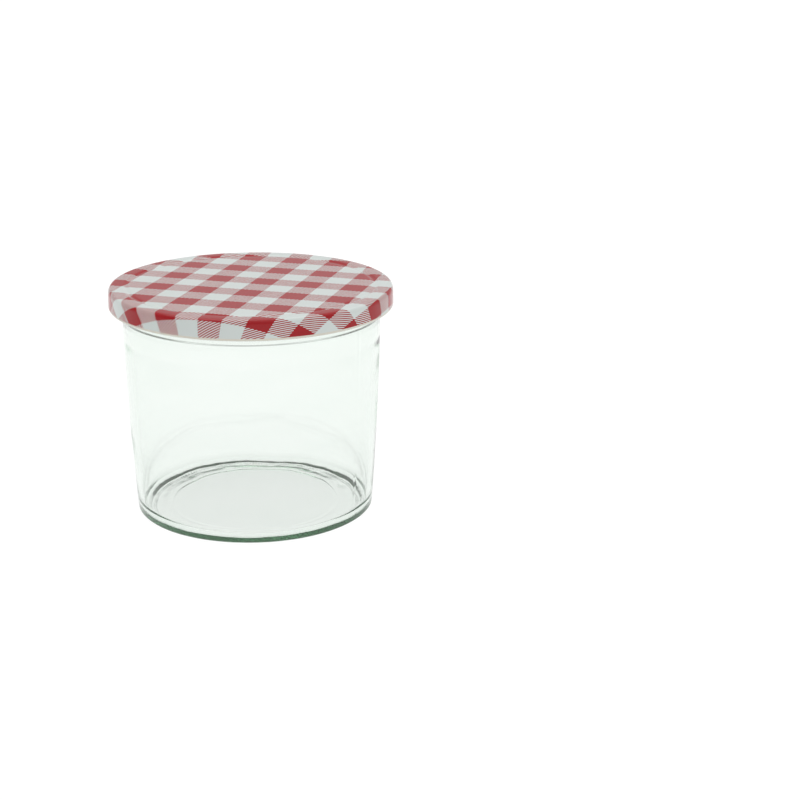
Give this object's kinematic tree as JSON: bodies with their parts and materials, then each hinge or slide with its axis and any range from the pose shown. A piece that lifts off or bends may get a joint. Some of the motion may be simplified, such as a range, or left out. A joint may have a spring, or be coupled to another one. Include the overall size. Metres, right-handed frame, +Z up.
{
  "type": "jam jar",
  "caption": "Empty clear-glass tumbler jar for jam or preserves, shut by a twist-off tinplate lid printed with a check cloth pattern.",
  "frame": {"origin": "middle of the foot, on the surface that the jar stands on", "axes": "+Z up along the jar's axis; -Y towards the viewer of the picture"},
  "size_m": [0.105, 0.105, 0.0862],
  "materials": {
    "clear_glass": "clear pressed glass with a faint green tint",
    "printed_tin": "tinplate printed in red and white checks under a gloss varnish, white lacquer inside",
    "compound": "satin, off-white"
  },
  "bodies": {
    "root": {"jar_glass": "clear_glass", "lid": "printed_tin", "seal_ring": "compound"}
  },
  "joints": []
}
